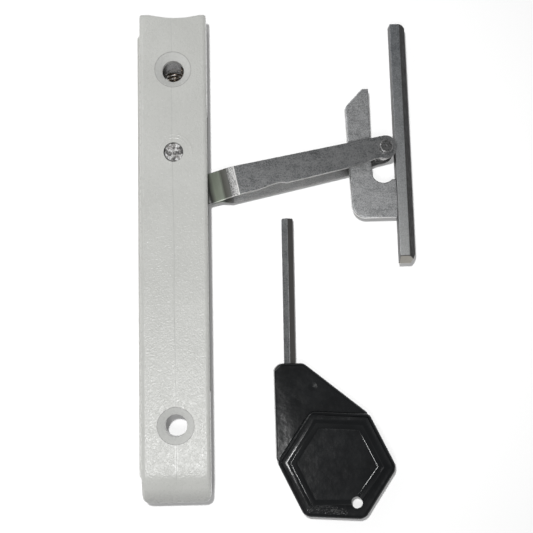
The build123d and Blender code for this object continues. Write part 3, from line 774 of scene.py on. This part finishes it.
def dressNodes():
    plateSteel, brightSteel, springSteel, keeperSteel, pinSteel, trackSteel = (
        makeZinc(name)[0] for name in (
            "plateSteel", "brightSteel", "springSteel", "keeperSteel", "pinSteel", "trackSteel"))
    armSteel = makeArmSteel()
    finishes = {
        "housing": makeHousingPaint(), "back_plate": plateSteel, "track_plate": trackSteel,
        "closing_rivets": brightSteel, "slider_channel": plateSteel, "slider_shoe": makeAcetal(),
        "shoe_rivets": brightSteel, "pivot_pin": brightSteel, "pivot_bush": plateSteel,
        "arm_top_plate": armSteel, "arm_bottom_plate": armSteel, "roller_pin": pinSteel,
        "roller": brightSteel, "hook_plate": keeperSteel, "keeper_rail": makeRailSteel(),
        "stop_plunger": makeStakedSteel(), "plunger_leaf": springSteel,
        "leaf_rivet": brightSteel, "return_spring": springSteel,
        "key_grip": makeBlackPlastic(), "key_shaft": makeKeySteel(),
    }
    for name, mat in finishes.items():
        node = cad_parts[name]
        node.data.materials.clear()
        node.data.materials.append(mat)
    print("materials made for", len(finishes), "nodes")


# Pieces. Each one is modelled in place, with its object at the origin.
# Their sizes and places are in millimetres and their angles in degrees.
meshRules = {
    # vertices nearer than this are one
    "weld": 0.001,
    # edges sharper than this stay sharp, on plain pieces and on rounded ones
    "smooth": 35,
    "smoothRounded": 45,
    # neighbouring faces that turn by less than this are one
    "flat": 1,
    # least upward share of a flat top's normal, and the most that an upright side's has
    "flatTop": 0.95,
    "upright": 0.3,
}


def alone(piece):
    bpy.ops.object.select_all(action="DESELECT")
    piece.select_set(True)
    bpy.context.view_layer.objects.active = piece


def openPiece(piece, pick="FACE"):
    # edit mode on this piece alone, with nothing selected
    alone(piece)
    bpy.ops.object.mode_set(mode="EDIT")
    bpy.ops.mesh.select_mode(type=pick)
    bpy.ops.mesh.select_all(action="DESELECT")


def weld():
    bpy.ops.mesh.select_all(action="SELECT")
    bpy.ops.mesh.remove_doubles(threshold=meshRules["weld"] * mm)


def closePiece(piece):
    # welds, turns the faces outwards and goes back to object mode
    weld()
    bpy.ops.mesh.normals_make_consistent(inside=False)
    bpy.ops.object.mode_set(mode="OBJECT")
    bpy.ops.object.shade_smooth_by_angle(angle=radians(meshRules["smooth"]))
    piece.select_set(False)


def pickFaces(piece, wanted):
    # selects the faces whose middle and normal pass the test, middle in millimetres
    bm = bmesh.from_edit_mesh(piece.data)
    for face in bm.faces:
        face.select_set(bool(wanted(face.calc_center_median() / mm, face.normal)))
    bmesh.update_edit_mesh(piece.data)


def pickEdges(piece, wanted):
    # selects the edges whose two ends pass the test, in millimetres
    bm = bmesh.from_edit_mesh(piece.data)
    for edge in bm.edges:
        first, second = (v.co / mm for v in edge.verts)
        edge.select_set(bool(wanted(first, second)))
    bmesh.update_edit_mesh(piece.data)


def pickRim(piece, up):
    # selects the edges where an upright face meets the flat top (up = 1) or bottom (up = -1)
    s = meshRules
    bm = bmesh.from_edit_mesh(piece.data)
    for edge in bm.edges:
        rises = sorted(face.normal.z * up for face in edge.link_faces)
        edge.select_set(len(rises) == 2 and abs(rises[0]) < s["upright"] and rises[1] > s["flatTop"])
    bmesh.update_edit_mesh(piece.data)


def moveCorner(piece, near, shift):
    # moves the vertex next to a place, both in millimetres
    bm = bmesh.from_edit_mesh(piece.data)
    for v in bm.verts:
        v.select_set(False)
    bm.verts.ensure_lookup_table()
    closest = min(bm.verts, key=lambda v: (v.co / mm - Vector(near)).length)
    closest.select_set(True)
    bm.select_flush_mode()
    bmesh.update_edit_mesh(piece.data)
    bpy.ops.transform.translate(value=[v * mm for v in shift])


def applyModifier(piece, kind, **settings):
    alone(piece)
    modifier = piece.modifiers.new(kind.lower(), kind)
    for name, value in settings.items():
        setattr(modifier, name, value)
    bpy.ops.object.modifier_apply(modifier=modifier.name)


def shadeRounded(piece, weight):
    # flat faces are shaded flat and the rounds between them smooth
    alone(piece)
    bpy.ops.object.shade_smooth_by_angle(angle=radians(meshRules["smoothRounded"]))
    applyModifier(piece, "WEIGHTED_NORMAL", weight=weight, keep_sharp=True)


def roundEdges(piece, width, sharpest, segments, weight):
    # narrow rounds on every edge sharper than an angle
    applyModifier(
        piece, "BEVEL", width=width * mm, segments=segments, limit_method="ANGLE",
        angle_limit=radians(sharpest), miter_outer="MITER_ARC")
    shadeRounded(piece, weight)


def cutAway(piece, cutter, operation="DIFFERENCE"):
    applyModifier(piece, "BOOLEAN", object=cutter, operation=operation, solver="EXACT")
    bpy.data.objects.remove(cutter)


def settle(piece, name, material):
    # leaves the piece at the origin, with its name and its finish
    alone(piece)
    bpy.ops.object.transform_apply(location=True, rotation=True, scale=True)
    piece.name = name
    piece.data.name = name
    piece.data.materials.clear()
    piece.data.materials.append(material)
    piece.select_set(False)


def finishOf(node):
    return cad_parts[node].data.materials[0]


def takesPlace(piece, node, body):
    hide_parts(node)
    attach(piece, body)


def copyNode(name, newName):
    # a welded copy of a CAD node, which is left as it is
    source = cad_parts[name]
    bpy.ops.object.select_all(action="DESELECT")
    piece = source.copy()
    piece.data = source.data.copy()
    piece.parent = None
    piece.name = newName
    bpy.context.collection.objects.link(piece)
    openPiece(piece, "VERT")
    weld()
    bpy.ops.object.mode_set(mode="OBJECT")
    piece.select_set(False)
    return piece


brokenEdges = {
    # edges sharper than this are rounded
    "sharpest": 32,
    "segments": 2,
    "weight": 90,
    # piece: node, body, width of the rounded edge
    "pieces": {
        "armTopPlate": ("arm_top_plate", "arm", 0.13),
        "armLowPlate": ("arm_bottom_plate", "arm", 0.13),
        "keeperHook": ("hook_plate", "keeper", 0.12),
        "keeperBar": ("keeper_rail", "keeper", 0.14),
        "keyShaft": ("key_shaft", "key", 0.10),
    },
}


def makeBrokenEdges():
    # sheared and rolled steel never has knife edges, so these plates and bars get narrow rounds
    s = brokenEdges
    for name, (node, body, width) in s["pieces"].items():
        piece = copyNode(node, name)
        openPiece(piece)
        bpy.ops.mesh.select_all(action="SELECT")
        bpy.ops.mesh.dissolve_limited(angle_limit=radians(meshRules["flat"]))
        bpy.ops.object.mode_set(mode="OBJECT")
        roundEdges(piece, width, s["sharpest"], s["segments"], s["weight"])
        settle(piece, name, finishOf(node))
        takesPlace(piece, node, body)
    print("plates and bars made:", len(s["pieces"]))


def makeSprings():
    # both are copies of the CAD's own forms
    coil = copyNode("return_spring", "returnCoil")
    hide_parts("return_spring")
    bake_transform(coil)
    leaf = copyNode("plunger_leaf", "plungerLeaf")
    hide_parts("plunger_leaf")
    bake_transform(leaf)
    print("springs made: 2")


keyGripForm = {
    "middle": (41.4, -57.3),
    "sides": 6,
    "radius": 15.7,
    "turn": -3.8,
    "height": 7.2,
    "cornerRadius": 1.6,
    "webCornerRadius": 0.95,
    "cornerSegments": 6,
    "edgeRadius": 0.85,
    "edgeSegments": 5,
    # width and rise of each step from the outer edge in to the panel,
    # and how far the step's corner by the ring hole is drawn in
    "steps": [
        (1.0, 0, 0), (0.5, -0.03, 0.1), (0.5, -0.03, 0.3), (0.35, 0.08, 0.4), (0.35, 0.11, 0.3),
        (0.2, 0.08, 0.1), (0.16, 0.02, 0), (0.2, -0.14, 0), (0.95, -0.66, 0.3), (0.3, -0.1, 0),
    ],
    # corners are counted anticlockwise, with 0 at the right
    "ringCorner": 5,
    "webCorners": (1, 3),
    # an edge this near to a corner belongs to it, and the panel's middle is this near to the grip's
    "nearCorner": 1.5,
    "nearMiddle": 3,
    "ringHole": (46.3, -67.0),
    "ringHoleRadius": 1.35,
    "ringHoleBack": 2.7,
    "ringHoleSides": 40,
    # the cutter is this much taller than the grip, to pass the bead too
    "ringHolePast": 0.6,
    # width, angle, segments and weight of the last rounds on the whole grip
    "softEdge": (0.14, 34, 2, 60),
    # weight of the flat faces once the hole is cut
    "holeWeight": 60,
}


def cornerAngle(number):
    s = keyGripForm
    return radians(360 / s["sides"] * number + s["turn"])


def gripCorner(number, radius):
    x, y = keyGripForm["middle"]
    angle = cornerAngle(number)
    return x + radius * cos(angle), y + radius * sin(angle)


def makeGripBlock():
    # the six-sided block: a rounded rim, a shallow valley, a fine bead and a slope to the bare panel
    s = keyGripForm
    x, y = s["middle"]
    half = s["height"] / 2
    # half the angle between two corners, by which a new cylinder has to be turned too
    halfStep = radians(180 / s["sides"])
    bpy.ops.mesh.primitive_cylinder_add(
        vertices=s["sides"], radius=s["radius"] * mm, depth=s["height"] * mm,
        location=(x * mm, y * mm, half * mm), rotation=(0, 0, halfStep + radians(s["turn"])))
    block = bpy.context.object
    bpy.ops.object.transform_apply(location=True, rotation=True, scale=True)
    openPiece(block)
    pickFaces(block, lambda middle, normal: normal.z > meshRules["flatTop"])
    inset, rise = 0, 0
    outwards = cornerAngle(s["ringCorner"])
    for width, climb, drawn in s["steps"]:
        bpy.ops.mesh.inset(thickness=width * mm, depth=climb * mm)
        inset += width
        rise += climb
        if drawn:
            corner = gripCorner(s["ringCorner"], s["radius"] - inset / cos(halfStep))
            shift = (-drawn * cos(outwards), -drawn * sin(outwards), 0)
            bpy.ops.mesh.select_mode(type="VERT")
            moveCorner(block, (*corner, s["height"] + rise), shift)
            bpy.ops.mesh.select_mode(type="FACE")
            # the panel is the upper one of the two faces in the middle
            pickFaces(block, lambda middle, normal: middle.z > half and max(
                abs(middle.x - x), abs(middle.y - y)) < s["nearMiddle"])
    bpy.ops.mesh.select_mode(type="EDGE")
    # the corners that the web runs into are sharper than the others
    joints = [Vector((*gripCorner(number, s["radius"]), 0)) for number in s["webCorners"]]
    for joined, radius in ((True, s["webCornerRadius"]), (False, s["cornerRadius"])):
        pickEdges(block, lambda a, b: abs(a.z - b.z) > half and joined == any(
            (Vector((a.x, a.y, 0)) - joint).length < s["nearCorner"] for joint in joints))
        bpy.ops.mesh.bevel(offset=radius * mm, segments=s["cornerSegments"], affect="EDGES")
    for up in (1, -1):
        pickRim(block, up)
        bpy.ops.mesh.bevel(
            offset=s["edgeRadius"] * mm, segments=s["edgeSegments"], affect="EDGES")
    closePiece(block)
    return block


keyWebForm = {
    # the outline starts as a circle of this radius, whose points are then moved
    "startRadius": 5,
    "low": 0.8,
    "high": 6.4,
    "outline": [
        (25.4, -32.2), (26.9, -30.8), (33.2, -30.8), (50.13, -44.25),
        (48.3, -46.9), (36.1, -46.1), (28.6, -56.6), (25.73, -56.26),
    ],
    "crease": [(28.1, -31.0), (31.3, -47.0)],
    "leftSlope": 1.3,
    "rightSlope": 1.2,
    # width, angle, segments and weight of the rounds
    "rounds": (0.75, 30, 5, 90),
}


def makeGripWeb():
    # the thinner web that holds the shaft, with a crease along the shaft's left side
    s = keyWebForm
    outline = s["outline"]
    x, y = keyGripForm["middle"]
    bpy.ops.mesh.primitive_circle_add(
        vertices=len(outline), radius=s["startRadius"] * mm, fill_type="NGON",
        location=(x * mm, y * mm, s["low"] * mm))
    web = bpy.context.object
    bpy.ops.object.transform_apply(location=True, rotation=True, scale=True)
    starts = [(v.co / mm).freeze() for v in web.data.vertices]
    openPiece(web, "VERT")
    for start, place in zip(starts, outline):
        moveCorner(web, start, (place[0] - start.x, place[1] - start.y, 0))
    bpy.ops.mesh.select_mode(type="FACE")
    bpy.ops.mesh.select_all(action="SELECT")
    climb = (0, 0, (s["high"] - s["low"]) * mm)
    bpy.ops.mesh.extrude_region_move(TRANSFORM_OT_translate={"value": climb})
    (ax, ay), (bx, by) = s["crease"]
    leftward = Vector((by - ay, ax - bx, 0)).normalized()
    if leftward.x > 0:
        leftward = -leftward
    for side, slope in ((1, s["leftSlope"]), (-1, s["rightSlope"])):
        # the plane runs through the crease and goes down to one side
        tilt = radians(slope)
        normal = leftward * side * sin(tilt) + Vector((0, 0, cos(tilt)))
        bpy.ops.mesh.select_all(action="SELECT")
        bpy.ops.mesh.bisect(
            plane_co=(ax * mm, ay * mm, s["high"] * mm), plane_no=normal,
            use_fill=True, clear_inner=False, clear_outer=True)
    closePiece(web)
    roundEdges(web, *s["rounds"])
    return web


def makeKeyGrip():
    s = keyGripForm
    grip = makeGripBlock()
    cutAway(grip, makeGripWeb(), "UNION")
    openPiece(grip)
    closePiece(grip)
    roundEdges(grip, *s["softEdge"])
    # the ring hole is wide at the back
    x, y = s["ringHole"]
    bpy.ops.mesh.primitive_cone_add(
        vertices=s["ringHoleSides"], radius1=s["ringHoleBack"] * mm,
        radius2=s["ringHoleRadius"] * mm, depth=(s["height"] + s["ringHolePast"]) * mm,
        location=(x * mm, y * mm, s["height"] / 2 * mm))
    cutAway(grip, bpy.context.object)
    shadeRounded(grip, s["holeWeight"])
    settle(grip, "keyGrip", finishOf("key_grip"))
    takesPlace(grip, "key_grip", "key")
    print("key grip made,", len(grip.data.polygons), "faces")


makeCamera()
makeLamps()
makeWorld()
makeFloor()
dressNodes()
makeBrokenEdges()
makeSprings()
makeKeyGrip()

bpy.context.scene.view_settings.view_transform = "Standard"
